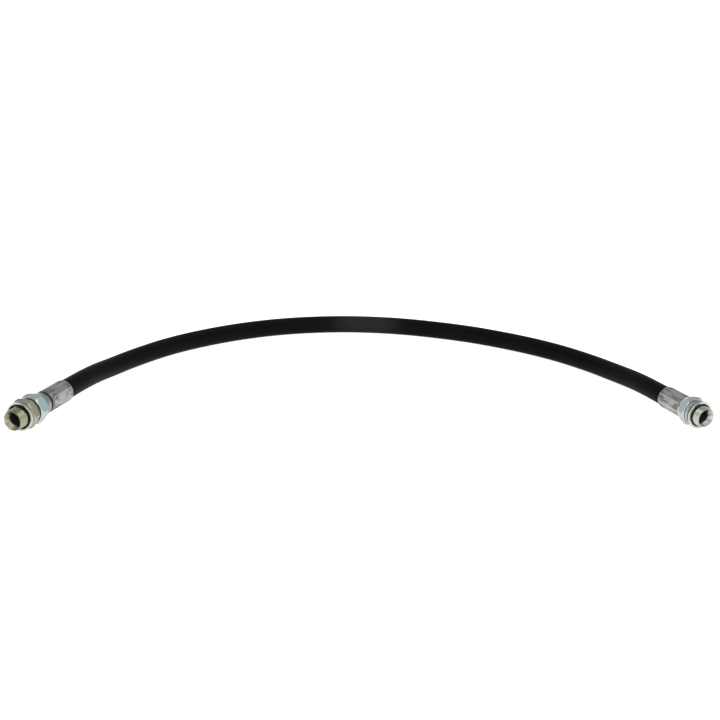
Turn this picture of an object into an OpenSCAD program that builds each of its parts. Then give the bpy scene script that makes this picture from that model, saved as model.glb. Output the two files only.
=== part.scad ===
// Hydraulic hose assembly: a two-wire braided hose crimped to two steel fittings.
// End A is a swivel nut with a stud adaptor screwed into it, end B is a fixed male stud.
// Both studs carry a bonded seal. The hose lies on the ground plane z = 0 as an open arch.

/* [Hose] */
// Outside diameter of the hose
hose_od = 20.2; // [19.6:0.1:21]
// Bore of the hose
hose_bore = 12.7; // [12.3:0.1:13.1]
// Thickness of the rubber inner tube
tube_t = 1.4; // [1.2:0.05:1.6]
// Thickness of each wire braid
braid_t = 0.6; // [0.5:0.05:0.7]
// Thickness of the rubber layer between the two braids
interlayer_t = 0.25; // [0.2:0.05:0.4]

/* [Ferrules] */
// Length of a crimped ferrule
ferrule_l = 38; // [35:0.5:42]
// Diameter over the ridges that the crimping dies leave
ferrule_od = 23.2; // [22.8:0.1:24]
// Wall of the ferrule before its crimp faces
ferrule_wall = 2.2; // [2:0.05:2.3]
// Depth of the crimp faces below the ridges
crimp_depth = 0.4; // [0.2:0.05:0.6]
// Number of crimp faces round a ferrule
crimp_faces = 8; // [6:1:10]
// Thickness of the lip that locks a ferrule to its insert
lip_t = 7; // [5:0.5:8]

/* [Inserts] */
// Bore of the inserts
insert_bore = 9.6; // [9:0.1:10]
// Height of the barbs on the hose tail
barb_h = 0.3; // [0.2:0.05:0.4]
// Number of barbs on the hose tail
barbs = 6; // [4:1:7]
// Diameter of the stop collar between ferrule and swivel nut
collar_d = 23; // [20:0.5:24]
// Length of that stop collar
collar_l = 2.5; // [2:0.5:5]
// Diameter of the coned head that the swivel nut turns on
head_d = 19; // [18.4:0.1:19.4]
// Length of the straight part of that head
head_l = 8; // [6:0.5:10]

/* [Threads] */
// Major diameter of the G1/2 pipe thread
thread_d = 20.955; // [20.6:0.005:21.2]
// Length of both studs from shoulder to end
stud_l = 13.3; // [12:0.1:15]
// Length of the thread relief beside the shoulder of the adaptor's stud
relief_l = 4; // [3.8:0.1:4.5]
// Length of the adaptor's thread inside the swivel nut
nut_thread_l = 14.5; // [13:0.5:16]
// Bore of the studs
port_d = 11.6; // [11:0.1:13]
// Mouth diameter of the 60 degree cone in each stud
cone_d = 18.2; // [16.6:0.1:18.4]

/* [Hexagons] */
// Size across flats of the three hexagons
hex_af = 27; // [26.5:0.1:28]
// Gap between the tightened swivel nut and the adaptor's hexagon
nut_gap = 4; // [2:0.1:4.5]
// Gap between the stop collar and the swivel nut, where the insert shows
neck_gap = 2; // [1:0.5:4]
// Length of the round neck that is swaged over the insert's head
neck_l = 3.5; // [3:0.5:5]
// Diameter of that neck
neck_d = 23; // [22.6:0.1:25]
// Length of the cone from the neck up to the swivel nut's hexagon
nut_cone_l = 6.5; // [3:0.1:7]
// Length over which that hexagon grows from the cone to its corners
nut_corner_l = 3.2; // [2.4:0.1:3.6]
// Diameter at which the fixed fitting's hexagon starts beside the ferrule
body_cone_d = 24.6; // [24:0.1:27]
// Length of the cone from there to that hexagon's corners
body_cone_l = 7.4; // [4:0.2:8]
// Length of the adaptor's hexagon
adaptor_hex_l = 8.7; // [8:0.1:15]
// Length of the turned seat between that hexagon and its stud
adaptor_seat_l = 2.4; // [1:0.1:4]
// Length of the hexagon on the fixed stud fitting
body_hex_l = 11.5; // [10:0.5:16]
// Length of the turned seat between that hexagon and the stud
seat_l = 4.5; // [4:0.5:8]

/* [Bonded seals] */
// Outside diameter of the seal's steel ring
seal_od = 28.6; // [28:0.1:29]
// Thickness of the seal at its rubber lip
seal_t = 2.5; // [2.2:0.05:2.55]
// Inside diameter of the rubber
rubber_id = 21.5; // [21.4:0.05:22]
// Share of the seal's width that is rubber
lip_share = 0.38; // [0.3:0.01:0.5]
// Distance that the loose seal of end B stands off its seat
seal_b_gap = 2.4; // [0.1:0.1:3]

/* [Hidden] */
$fn = 96;

// Hose centreline between the two ferrule mouths: X, Y and lift off the ground.
// Lift 0 lies on the ground, lift 1 is at the height of the fittings' axis.
ROUTE = [[-306, 23, 1], [-297, 49, 0.96], [-288, 75, 0.66], [-277, 101, 0.2],
         [-261, 131, 0], [-234, 169, 0], [-208, 197, 0], [-169, 229, 0],
         [-127, 254, 0], [-87, 270, 0], [-37, 281, 0], [8, 283, 0],
         [53, 278, 0], [111, 262, 0], [146, 247, 0], [188, 223, 0],
         [222, 197, 0], [252, 166, 0], [272, 138, 0.18], [287, 110, 0.68],
         [297, 88, 0.96], [309, 62, 1]];
// Direction that each fitting points in, degrees from +X
AIM_A = -109;
AIM_B = -65;
// Sides of the hose's facetted layers
HOSE_SIDES = 12;

// Small gaps: parts that turn or slide, parts that only touch, faces on one part
run_gap = 0.07;
touch_gap = 0.05;
end_gap = 0.1;

// Radii of the hose layers, from the bore outwards
bore_r = hose_bore / 2;
tube_r = bore_r + tube_t;
inner_braid_r = tube_r + braid_t;
interlayer_r = inner_braid_r + interlayer_t;
outer_braid_r = interlayer_r + braid_t;
hose_r = hose_od / 2;

// The crimp presses the hose wall evenly between the ferrule and the insert
ferrule_r = ferrule_od / 2;
grip_r = ferrule_r - ferrule_wall;
squeeze = (grip_r - bore_r) / (hose_r - bore_r);
// Length over which the hose narrows outside the ferrule's mouth
neck_down = 4;

// Fitting axis: the seals' rims and the hose rest on the ground together
axis_z = seal_od / 2;

// Insert: tail in the hose, ring and groove that lock the ferrule
tail_r = bore_r - 0.15;
lock_neck_r = tail_r + 1.2;
lock_ring_r = lock_neck_r + 0.9;
lock_ring_t = 1.6;
tail_start = 1.5;
hose_in = ferrule_l - lip_t - lock_ring_t - 0.2;
barb_pitch = (hose_in - tail_start - 4) / barbs;

// End A, distances from the ferrule's mouth outwards
nut_start = ferrule_l + collar_l + neck_gap;
swage_t = 2.4;
head_r = head_d / 2;
head_start = nut_start + swage_t + end_gap;
head_end = head_start + head_l;
head_neck_r = head_r - 1.5;
cone_r = cone_d / 2;
nose_r = insert_bore / 2 + 0.8;
nose_end = head_end + (head_r - nose_r) / tan(30);
adaptor_start = head_end + (head_r + run_gap - cone_r) / tan(30);
adaptor_hex = adaptor_start + nut_thread_l;
adaptor_seat = adaptor_hex + adaptor_hex_l;
shoulder_a = adaptor_seat + adaptor_seat_l;
nut_end = adaptor_hex - nut_gap;
nut_hex = nut_start + neck_l + nut_cone_l;

// End B, distances from the ferrule's mouth outwards
body_seat = ferrule_l + body_hex_l;
shoulder_b = body_seat + seat_l;

// Threads are plain at their major diameter
thread_r = thread_d / 2;
relief_r = thread_r - 1.2;
thread_tip = 0.8;
relief_b = seal_b_gap + seal_t + 0.2;
port_r = port_d / 2;
cone_l = (cone_r - port_r) / tan(30);

// Hexagons
hex_corner = hex_af / 2 / cos(30);
hex_face_r = hex_af / 2 - 0.4;
hex_bevel = (hex_corner - hex_face_r) * tan(30);
// Turned faces that run into the hexagons stay inside their flats
nut_cone_r = hex_af / 2 - 0.1;
seat_r = hex_af / 2 - 0.2;

// Seals
rubber_r = rubber_id / 2;
lip_w = lip_share * (seal_od / 2 - rubber_r);
ring_r = rubber_r + lip_w;
ring_t = seal_t - 0.5;

// Straight point of the hose at a distance past a ferrule's mouth, towards its stud
function aim(angle) = [cos(angle), sin(angle), 0];
function lifted(p) = [p.x, p.y, hose_r + p.z * (axis_z - hose_r)];
function mouth(last) = lifted(ROUTE[last ? len(ROUTE) - 1 : 0]);

// Rings of the hose: centre, and how far the wall is squeezed there (0 free, 1 crimped)
RUN = len(ROUTE);
RINGS = concat(
    [[mouth(false) + hose_in * aim(AIM_A), 1], [mouth(false), 1],
     [mouth(false) - neck_down * aim(AIM_A), 0]],
    [for (i = [1 : RUN - 2]) [lifted(ROUTE[i]), 0]],
    [[mouth(true) - neck_down * aim(AIM_B), 0], [mouth(true), 1],
     [mouth(true) + hose_in * aim(AIM_B), 1]]);
COUNT = len(RINGS);

function unit(v) = v / norm(v);
function heading(i) =
    i <= 1 ? -aim(AIM_A) :
    i >= COUNT - 2 ? aim(AIM_B) :
    unit(unit(RINGS[i + 1][0] - RINGS[i][0]) + unit(RINGS[i][0] - RINGS[i - 1][0]));
function layer_r(r, squeezed) = squeezed == 1 ? bore_r + (r - bore_r) * squeeze : r;
function ring_points(i, r) =
    let (t = heading(i), side = unit(cross(t, [0, 0, 1])), up = cross(side, t),
         radius = layer_r(r, RINGS[i][1]))
    [for (k = [0 : HOSE_SIDES - 1])
        let (a = 360 * k / HOSE_SIDES)
        RINGS[i][0] + radius * (cos(a) * side + sin(a) * up)];

// Wall between two rings of points that start at indices a and b, and the same wall from behind
function band(a, b) = [for (k = [0 : HOSE_SIDES - 1])
    let (n = (k + 1) % HOSE_SIDES)
    each [[a + k, b + k, b + n], [a + k, b + n, a + n]]];
function turned_over(faces) = [for (f = faces) [f[0], f[2], f[1]]];

// One layer of the hose, a tube between two radii
module hose_layer(r_in, r_out) {
    points = concat([for (i = [0 : COUNT - 1]) each ring_points(i, r_out)],
                    [for (i = [0 : COUNT - 1]) each ring_points(i, r_in)]);
    inside = COUNT * HOSE_SIDES;
    faces = concat(
        [for (i = [0 : COUNT - 2]) each band(i * HOSE_SIDES, (i + 1) * HOSE_SIDES)],
        [for (i = [0 : COUNT - 2])
            each turned_over(band(inside + i * HOSE_SIDES, inside + (i + 1) * HOSE_SIDES))],
        band(inside, 0),
        band(inside - HOSE_SIDES, 2 * inside - HOSE_SIDES));
    polyhedron(points, faces, convexity = 6);
}

// Places a fitting that is built along +Z with its ferrule's mouth at the origin
module end_a() {
    translate(mouth(false)) rotate([0, 0, AIM_A]) rotate([0, 90, 0]) children();
}
module end_b() {
    translate(mouth(true)) rotate([0, 0, AIM_B]) rotate([0, 90, 0]) children();
}

// Turned shape from [radius, distance] pairs
module turned(profile) {
    rotate_extrude() polygon(profile);
}

// Hexagon bar, flats up and down. The outer end has the common 30 degree bevel, and the inner
// end starts at its own radius and reaches the corners over its own length.
module hexagon(start, end, inner_r, inner_l) {
    slope = (hex_corner - inner_r) / inner_l;
    intersection() {
        translate([0, 0, start]) rotate([0, 0, 30])
            cylinder(r = hex_corner, h = end - start, $fn = 6);
        turned([[0, start], [inner_r, start], [hex_corner + 0.1, start + inner_l + 0.1 / slope],
                [hex_corner + 0.1, end - hex_bevel - 0.1 * tan(30)], [hex_face_r, end], [0, end]]);
    }
}

// Male stud: relief beside the shoulder, thread, bevelled end
module stud(shoulder, relief, end) {
    turned([[0, shoulder - 0.5], [relief_r, shoulder - 0.5],
            [relief_r, shoulder + relief - (thread_r - relief_r)],
            [thread_r, shoulder + relief], [thread_r, end - thread_tip],
            [thread_r - thread_tip, end], [0, end]]);
}

// Bore of a stud with the 60 degree cone at its mouth
module port(start, end) {
    turned([[0, start], [port_r, start], [port_r, end - cone_l], [cone_r, end],
            [cone_r, end + 1], [0, end + 1]]);
}

module ferrule() {
    taper_l = 6;
    front_land = 2.4;
    ridge_end = ferrule_l - front_land + 0.5;
    land_r = ferrule_r - 0.05;
    edge = 0.6;
    lip_start = ferrule_l - lip_t;
    face_r = (ferrule_r - crimp_depth) / cos(180 / crimp_faces);
    difference() {
        union() {
            // barrel that narrows towards its mouth, with the faces of the crimp; its ridges run
            // a little way onto the round land at the front
            intersection() {
                turned([[0, 0], [ferrule_r - 1.2, 0], [ferrule_r - 0.9, 0.4],
                        [ferrule_r - crimp_depth - 0.15, 0.5 * taper_l], [ferrule_r, taper_l],
                        [ferrule_r, ridge_end], [0, ridge_end]]);
                rotate([0, 0, 180 / crimp_faces])
                    cylinder(r = face_r, h = ridge_end, $fn = crimp_faces);
            }
            turned([[0, ferrule_l - front_land], [land_r, ferrule_l - front_land],
                    [land_r, ferrule_l - edge], [land_r - edge, ferrule_l], [0, ferrule_l]]);
        }
        // bore with a rounded mouth
        turned([[0, -1], [grip_r + 0.5, -1], [grip_r + 0.5, 0], [grip_r + touch_gap, 0.8],
                [grip_r + touch_gap, lip_start], [0, lip_start]]);
        cylinder(r = lock_neck_r + touch_gap, h = ferrule_l + 1);
    }
    // teeth that bite the hose cover
    for (z = [5 : 4 : hose_in - 3])
        turned([[grip_r - 0.25, z], [grip_r + 0.3, z - 0.6], [grip_r + 0.3, z + 1.4],
                [grip_r - 0.25, z + 0.8]]);
}

// Hose tail with barbs, locking ring and groove, solid up to a distance
module tail(end) {
    turned(concat(
        [[0, tail_start], [tail_r - 0.6, tail_start], [tail_r, tail_start + 1.2]],
        [for (i = [0 : barbs - 1]) let (z = tail_start + 2 + i * barb_pitch)
            each [[tail_r, z], [tail_r + barb_h, z + 0.75 * barb_pitch],
                  [tail_r, z + 0.75 * barb_pitch + 0.3]]],
        [[tail_r, hose_in + 0.1], [lock_ring_r, hose_in + 0.1],
         [lock_ring_r, ferrule_l - lip_t - end_gap], [lock_neck_r, ferrule_l - lip_t - end_gap],
         [lock_neck_r, end], [0, end]]));
}

module hose_cover() {
    color("#1b1b1b") hose_layer(outer_braid_r, hose_r);
}

module outer_braid() {
    color("#a9a38f") hose_layer(interlayer_r, outer_braid_r);
}

module braid_interlayer() {
    color("#2c2a28") hose_layer(inner_braid_r, interlayer_r);
}

module inner_braid() {
    color("#a9a38f") hose_layer(tube_r, inner_braid_r);
}

module inner_tube() {
    color("#242424") hose_layer(bore_r, tube_r);
}

module ferrule_a() {
    color("#a3a39d") end_a() ferrule();
}

module ferrule_b() {
    color("#a3a39d") end_b() ferrule();
}

// Insert of end A: barbed tail, stop collar, and the coned head inside the swivel nut
module insert_a() {
    collar_r = collar_d / 2;
    edge = 0.5;
    color("#8f8a63") end_a() difference() {
        union() {
            tail(ferrule_l + 0.5);
            turned([[0, ferrule_l], [collar_r - edge, ferrule_l], [collar_r, ferrule_l + edge],
                    [collar_r, ferrule_l + collar_l - edge],
                    [collar_r - edge, ferrule_l + collar_l], [0, ferrule_l + collar_l]]);
            turned([[0, ferrule_l], [head_neck_r, ferrule_l], [head_neck_r, head_start],
                    [head_r - 0.4, head_start], [head_r, head_start + 0.4], [head_r, head_end],
                    [nose_r, nose_end], [0, nose_end]]);
        }
        cylinder(d = insert_bore, h = nose_end + 1);
    }
}

// Swivel nut: bevelled hexagon, neck swaged over the insert's head
module swivel_nut() {
    neck_r = neck_d / 2;
    round = 1.6;
    chamber_r = head_r + run_gap;
    bore_nut_r = thread_r + run_gap;
    lead = 0.9;
    color("#b9c2cc") end_a() difference() {
        union() {
            hexagon(nut_hex, nut_end, nut_cone_r, nut_corner_l);
            // neck with its swaged edge rounded over, and the cone up to the hexagon
            turned(concat(
                [[0, nut_start], [neck_r - round, nut_start]],
                [for (a = [-75 : 15 : 0]) [neck_r - round + round * cos(a),
                                           nut_start + round + round * sin(a)]],
                [[neck_r, nut_start + neck_l], [nut_cone_r, nut_hex],
                 [nut_cone_r, nut_hex + 0.2], [0, nut_hex + 0.2]]));
        }
        turned([[0, nut_start - 1], [head_neck_r + run_gap, nut_start - 1],
                [head_neck_r + run_gap, nut_start + swage_t], [chamber_r, nut_start + swage_t],
                [chamber_r, adaptor_start - 0.4 - (bore_nut_r - chamber_r)],
                [bore_nut_r, adaptor_start - 0.4],
                [bore_nut_r, nut_end - lead], [bore_nut_r + lead, nut_end],
                [bore_nut_r + lead, nut_end + 1], [0, nut_end + 1]]);
    }
}

// Adaptor between the swivel nut and the port: two studs on one hexagon
module adaptor() {
    color("#8f9079") end_a() difference() {
        union() {
            turned([[0, adaptor_start], [thread_r - thread_tip, adaptor_start],
                    [thread_r, adaptor_start + thread_tip],
                    [thread_r, adaptor_hex - relief_l],
                    [relief_r, adaptor_hex - relief_l + (thread_r - relief_r)],
                    [relief_r, adaptor_hex + 0.5], [0, adaptor_hex + 0.5]]);
            hexagon(adaptor_hex, adaptor_seat, hex_face_r, hex_bevel);
            turned([[0, adaptor_seat - 2], [seat_r, adaptor_seat - 2],
                    [seat_r, shoulder_a - 0.4], [seat_r - 0.4, shoulder_a], [0, shoulder_a]]);
            stud(shoulder_a, relief_l, shoulder_a + stud_l);
        }
        port(adaptor_start + cone_l - 0.1, shoulder_a + stud_l);
        turned([[0, adaptor_start - 1], [cone_r, adaptor_start - 1], [cone_r, adaptor_start],
                [port_r, adaptor_start + cone_l], [0, adaptor_start + cone_l]]);
    }
}

// Insert of end B: barbed tail, hexagon, turned seat and male stud in one piece
module insert_b() {
    groove = 1.5;
    bore_step = 6;
    color("#b4b9bd") end_b() difference() {
        union() {
            tail(ferrule_l + 0.5);
            hexagon(ferrule_l, body_seat, body_cone_d / 2, body_cone_l);
            turned([[0, body_seat - 1], [seat_r - 1.2, body_seat - 1],
                    [seat_r - 1.2, body_seat + groove], [seat_r, body_seat + groove],
                    [seat_r, shoulder_b - 0.4], [seat_r - 0.4, shoulder_b], [0, shoulder_b]]);
            stud(shoulder_b, relief_b, shoulder_b + stud_l);
        }
        cylinder(d = insert_bore, h = shoulder_b + stud_l);
        port(ferrule_l + bore_step, shoulder_b + stud_l);
    }
}

// Steel ring of a bonded seal, seated on a face
module seal_ring(face) {
    mid = face + seal_t / 2;
    edge = 0.25;
    outer = seal_od / 2;
    turned([[ring_r, mid - ring_t / 2], [outer - edge, mid - ring_t / 2],
            [outer, mid - ring_t / 2 + edge], [outer, mid + ring_t / 2 - edge],
            [outer - edge, mid + ring_t / 2], [ring_r, mid + ring_t / 2]]);
}

// Rubber lip bonded inside the steel ring, thickest where it seals
module seal_rubber(face) {
    mid = face + seal_t / 2;
    crest = [rubber_r + 0.26 * lip_w, rubber_r + 0.56 * lip_w];
    turned([[rubber_r, mid - ring_t / 4], [crest[0], face], [crest[1], face],
            [ring_r, mid - ring_t / 2], [ring_r, mid + ring_t / 2],
            [crest[1], face + seal_t], [crest[0], face + seal_t],
            [rubber_r, mid + ring_t / 4]]);
}

module seal_ring_a() {
    color("#cfd4d6") end_a() seal_ring(shoulder_a + touch_gap);
}

module seal_rubber_a() {
    color("#141414") end_a() seal_rubber(shoulder_a + touch_gap);
}

module seal_ring_b() {
    color("#cfd4d6") end_b() seal_ring(shoulder_b + seal_b_gap);
}

module seal_rubber_b() {
    color("#141414") end_b() seal_rubber(shoulder_b + seal_b_gap);
}

hose_cover();
outer_braid();
braid_interlayer();
inner_braid();
inner_tube();
ferrule_a();
insert_a();
swivel_nut();
adaptor();
seal_ring_a();
seal_rubber_a();
ferrule_b();
insert_b();
seal_ring_b();
seal_rubber_b();
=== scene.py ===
# %% [markdown]
# # A hydraulic hose with two crimped end fittings
#
# The object is a black rubber hose, 0.9 m long, that lies in an open arc on the ground. A steel
# ferrule is crimped on each end. The left end has a swivel nut with an adaptor screwed into it,
# and the right end has a fixed male stud. Both studs carry a bonded seal, which is a steel ring
# with a rubber lip inside it.
#
# The solids come from the CAD model. This script dresses them with detailed meshes and with
# materials made of nodes. Lengths are written in millimetres and multiplied by MM where Blender
# wants metres. Lamps, the floor and the lens's clip distance are in metres.

import math

import bmesh
import bpy
from mathutils import Matrix, Vector


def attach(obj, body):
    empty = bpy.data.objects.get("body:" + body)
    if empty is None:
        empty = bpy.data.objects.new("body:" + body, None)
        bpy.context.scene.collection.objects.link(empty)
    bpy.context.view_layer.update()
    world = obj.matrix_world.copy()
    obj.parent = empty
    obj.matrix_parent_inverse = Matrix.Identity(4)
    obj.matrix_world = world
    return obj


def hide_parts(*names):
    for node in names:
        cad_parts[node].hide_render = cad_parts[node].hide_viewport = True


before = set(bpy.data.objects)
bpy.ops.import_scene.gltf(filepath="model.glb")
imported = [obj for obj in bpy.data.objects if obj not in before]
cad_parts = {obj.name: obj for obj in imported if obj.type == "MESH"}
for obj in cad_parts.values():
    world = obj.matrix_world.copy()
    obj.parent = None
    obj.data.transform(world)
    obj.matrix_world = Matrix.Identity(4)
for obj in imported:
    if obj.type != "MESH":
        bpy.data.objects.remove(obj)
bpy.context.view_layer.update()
scene = bpy.context.scene
MM = 0.001

# %% [markdown]
# ## Camera
#
# The camera stands a little above the hose and looks down on it by 19.5 degrees. A camera in
# Blender looks along its own -Z axis, so its matrix is written from three directions: right, up
# and back. It could also be aimed by a constraint, but a matrix holds the roll as well, which
# tips the horizon by about two degrees. The lens is given as a focal length on Blender's standard
# 36 mm sensor.

# %% Place the camera
CAMERA_AT = Vector((-9.5, -1093.9, 451.5)) * MM
PITCH = math.radians(19.5)
ROLL = math.radians(1.907)
LENS = 59.062

forward = Vector((0, math.cos(PITCH), -math.sin(PITCH)))
level_right = Vector((1, 0, 0))
level_up = Vector((0, math.sin(PITCH), math.cos(PITCH)))
right = math.cos(ROLL) * level_right + math.sin(ROLL) * level_up
up = -math.sin(ROLL) * level_right + math.cos(ROLL) * level_up

camera = bpy.data.objects.new("camera", bpy.data.cameras.new("camera"))
scene.collection.objects.link(camera)
camera.data.lens = LENS
camera.data.sensor_width = 36
camera.data.clip_start = 0.05
axes = Matrix((right, up, -forward)).transposed().to_4x4()
camera.matrix_world = Matrix.Translation(CAMERA_AT) @ axes
scene.camera = camera
print("camera at", [round(v, 3) for v in CAMERA_AT], "lens", LENS)

# %% [markdown]
# ## The hose's route
#
# A stiff hose lies in one smooth curve. The CAD model holds its middle line as a list of points,
# each with a lift off the ground: 0 lies flat and 1 is the height at which the end fittings hold
# it. The points are round numbers, so a curve straight through them would wobble by half a
# millimetre. Here a spline is drawn through them and then relaxed with Taubin smoothing, which
# takes small wobbles out and leaves the length alone. Blender's own curve object could be used,
# but its handles would have to be placed by hand at every point.

# %% Route points and sizes of the hose
ROUTE = [(-306, 23, 1), (-297, 49, 0.96), (-288, 75, 0.66), (-277, 101, 0.2),
         (-261, 131, 0), (-234, 169, 0), (-208, 197, 0), (-169, 229, 0),
         (-127, 254, 0), (-87, 270, 0), (-37, 281, 0), (8, 283, 0),
         (53, 278, 0), (111, 262, 0), (146, 247, 0), (188, 223, 0),
         (222, 197, 0), (252, 166, 0), (272, 138, 0.18), (287, 110, 0.68),
         (297, 88, 0.96), (309, 62, 1)]
# Direction of each fitting on the ground, and height of its axis
AIM = {"a": math.radians(-109), "b": math.radians(-65)}
AXIS_Z = 14.3
# Outside and bore of the free hose, and its outside where a ferrule grips it
HOSE_R, BORE_R, GRIP_R = 10.1, 6.35, 9.4
# Measured from the mouth of the CAD model's ferrule: how far in the hose reaches, how far in the
# dressed ferrule starts, and how far in one more point holds the line straight
HOSE_IN, FERRULE_IN, STRAIGHT = 29.2, 4.5, 12


def lifted(point):
    """A route point in space. Its lift goes from lying flat to the axis of the fittings."""
    x, y, lift = point
    return Vector((x, y, HOSE_R + lift * (AXIS_Z - HOSE_R)))


def outward(end):
    """Direction in which the fitting at this end points."""
    return Vector((math.cos(AIM[end]), math.sin(AIM[end]), 0))


MOUTH = {"a": lifted(ROUTE[0]), "b": lifted(ROUTE[-1])}
knots = [MOUTH["a"] + reach * outward("a") for reach in (HOSE_IN, STRAIGHT)]
knots += [lifted(point) for point in ROUTE]
knots += [MOUTH["b"] + reach * outward("b") for reach in (STRAIGHT, HOSE_IN)]
print("route points:", len(ROUTE))

# %% Draw the smooth middle line
# Distance between points, rounds of smoothing, and points that stay at each end
STEP, ROUNDS, HELD = 4.0, 120, 9


def distances(points):
    """How far along the line each of its points lies."""
    far = [0.0]
    for a, b in zip(points, points[1:]):
        far.append(far[-1] + (b - a).length)
    return far


def spline(points, spacing, cuts=24):
    """Centripetal Catmull-Rom curve through the points, sampled evenly."""
    ends = [2 * points[0] - points[1]] + points + [2 * points[-1] - points[-2]]
    dense = []
    for p0, p1, p2, p3 in zip(ends, ends[1:], ends[2:], ends[3:]):
        t1 = (p1 - p0).length ** 0.5
        t2 = t1 + (p2 - p1).length ** 0.5
        t3 = t2 + (p3 - p2).length ** 0.5
        for step in range(cuts):
            t = t1 + (t2 - t1) * step / cuts
            a1 = p0.lerp(p1, t / t1)
            a2 = p1.lerp(p2, (t - t1) / (t2 - t1))
            a3 = p2.lerp(p3, (t - t2) / (t3 - t2))
            b1 = a1.lerp(a2, t / t2)
            b2 = a2.lerp(a3, (t - t1) / (t3 - t1))
            dense.append(b1.lerp(b2, (t - t1) / (t2 - t1)))
    dense.append(points[-1])
    return evenly(dense, spacing)


def evenly(points, spacing):
    """The same line cut into equal steps."""
    far = distances(points)
    count = max(2, round(far[-1] / spacing))
    out, at = [], 0
    for step in range(count + 1):
        want = far[-1] * step / count
        while at < len(far) - 2 and far[at + 1] < want:
            at += 1
        out.append(points[at].lerp(points[at + 1], (want - far[at]) / (far[at + 1] - far[at])))
    return out


def taubin(points, rounds, hold):
    """Shrinks and grows the line in turn. The first and last few points stay."""
    shrink, grow = 0.5, -0.52
    line = list(points)
    for turn in range(2 * rounds):
        share = shrink if turn % 2 == 0 else grow
        moved = [p.copy() for p in line]
        for i in range(hold, len(line) - hold):
            moved[i] = line[i] + share * ((line[i - 1] + line[i + 1]) / 2 - line[i])
        line = moved
    return line


middle = taubin(spline(knots, STEP), ROUNDS, HELD)
along_middle = distances(middle)
hose_length = along_middle[-1]
print("middle line:", len(middle), "points,", round(hose_length, 1), "mm")

# %% [markdown]
# ## The hose and its layers
#
# A two-braid hose is a rubber tube, two braids of steel wire with a thin rubber layer between
# them, and a rubber cover. Each layer is a hollow tube that is swept along the middle line: a
# ring of points stands square to the line at every step, and faces join the rings. A bevelled
# curve would give the same outside, but not a hollow layer whose radius changes. All layers
# narrow over a few millimetres where the ferrule grips them.

# %% Sweep a hollow tube
# Length over which the hose swells back, and length of hose that one tile of the UV map covers
SWELL = 2.5
UV_TILE = 20


def sweep_rings(line, radius_at, sides):
    """Points of one surface round the line, ring by ring, in metres."""
    rings = []
    for i, centre in enumerate(line):
        ahead = line[min(i + 1, len(line) - 1)] - line[max(i - 1, 0)]
        ahead.normalize()
        side = ahead.cross(Vector((0, 0, 1))).normalized()
        over = side.cross(ahead)
        r = radius_at(i)
        rings.append([(centre + r * (math.cos(a) * side + math.sin(a) * over)) * MM
                      for a in (2 * math.pi * k / sides for k in range(sides))])
    return rings


def squeezed(r):
    """Radius of a layer at each point of the middle line. Crimping presses it towards the bore,
    and past the ferrule's mouth it swells back to its free radius r."""
    press = (GRIP_R - BORE_R) / (HOSE_R - BORE_R)

    def at(i):
        out = min(along_middle[i], hose_length - along_middle[i]) - (HOSE_IN - FERRULE_IN)
        free = min(1, max(0, out / SWELL))
        free = free * free * (3 - 2 * free)
        return BORE_R + (r - BORE_R) * (press + (1 - press) * free)

    return at


def hose_tube(name, inner, outer, sides):
    """A hollow layer of the hose, with a UV map that runs round it and along it."""
    outside = sweep_rings(middle, squeezed(outer), sides)
    inside = sweep_rings(middle, squeezed(inner), sides)
    loops = outside + inside[::-1]
    verts = [p for ring in loops for p in ring]
    faces, coords = [], []
    for i in range(len(loops)):
        j = (i + 1) % len(loops)
        for k in range(sides):
            n = (k + 1) % sides
            faces.append((i * sides + k, i * sides + n, j * sides + n, j * sides + k))
            coords.append((i, k))
    mesh = bpy.data.meshes.new(name)
    mesh.from_pydata(verts, [], faces)
    uv = mesh.uv_layers.new(name="around_and_along")
    last = len(middle) - 1
    for face, (i, k) in zip(mesh.polygons, coords):
        run = along_middle[min(i, 2 * last + 1 - i, last)] / UV_TILE
        following = along_middle[min(i + 1, 2 * last - i, last)] / UV_TILE
        corners = ((0, run), (1, run), (1, following), (0, following))
        for loop, (du, v) in zip(face.loop_indices, corners):
            uv.data[loop].uv = ((k + du) / sides, v)
    mesh.shade_smooth()
    mesh.set_sharp_from_angle(angle=math.radians(50))
    obj = bpy.data.objects.new(name, mesh)
    scene.collection.objects.link(obj)
    return obj


print("swells back over", SWELL, "mm beside each ferrule")

# %% [markdown]
# The five layers touch each other, so each one starts at the radius where the last one ends.

# %% Build the five layers
# Inner radius, outer radius and sides of each layer
LAYERS = {"inner_tube": (BORE_R, 7.75, 40), "inner_braid": (7.75, 8.35, 40),
          "braid_interlayer": (8.35, 8.6, 40), "outer_braid": (8.6, 9.2, 40),
          "hose_cover": (9.2, HOSE_R, 64)}
hose = {}
for layer, (inner, outer, sides) in LAYERS.items():
    hose[layer] = hose_tube("smooth_" + layer, inner, outer, sides)
    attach(hose[layer], "hose")
    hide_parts(layer)
print("hose layers:", ", ".join(hose))

# %% [markdown]
# ## Turned and hexagonal metal
#
# Every fitting is turned on a lathe, and some have hexagons milled on them. Both can be made in
# the same way: a closed outline of points, each with a distance along the axis and a radius, is
# carried round the axis. A radius may be a function of the angle, which gives hexagons and the
# flats of a crimp. Blender's Screw modifier also turns an outline, but it knows only round
# shapes. Each point of the outline also names the material of the face that starts there.
#
# Edges sharper than 22 degrees are then bevelled, because no machined edge is perfectly sharp,
# and the middle of each bevel is marked so that a material can wear it bright.

# %% Lathe with bevelled edges
SIDES = 96
# Places in a piece's list of finishes: plated steel, then a near-black steel that is painted
# shade in bores and relief grooves, then the cone in a mouth
PLATED, BORE, CONE = 0, 1, 2


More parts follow.
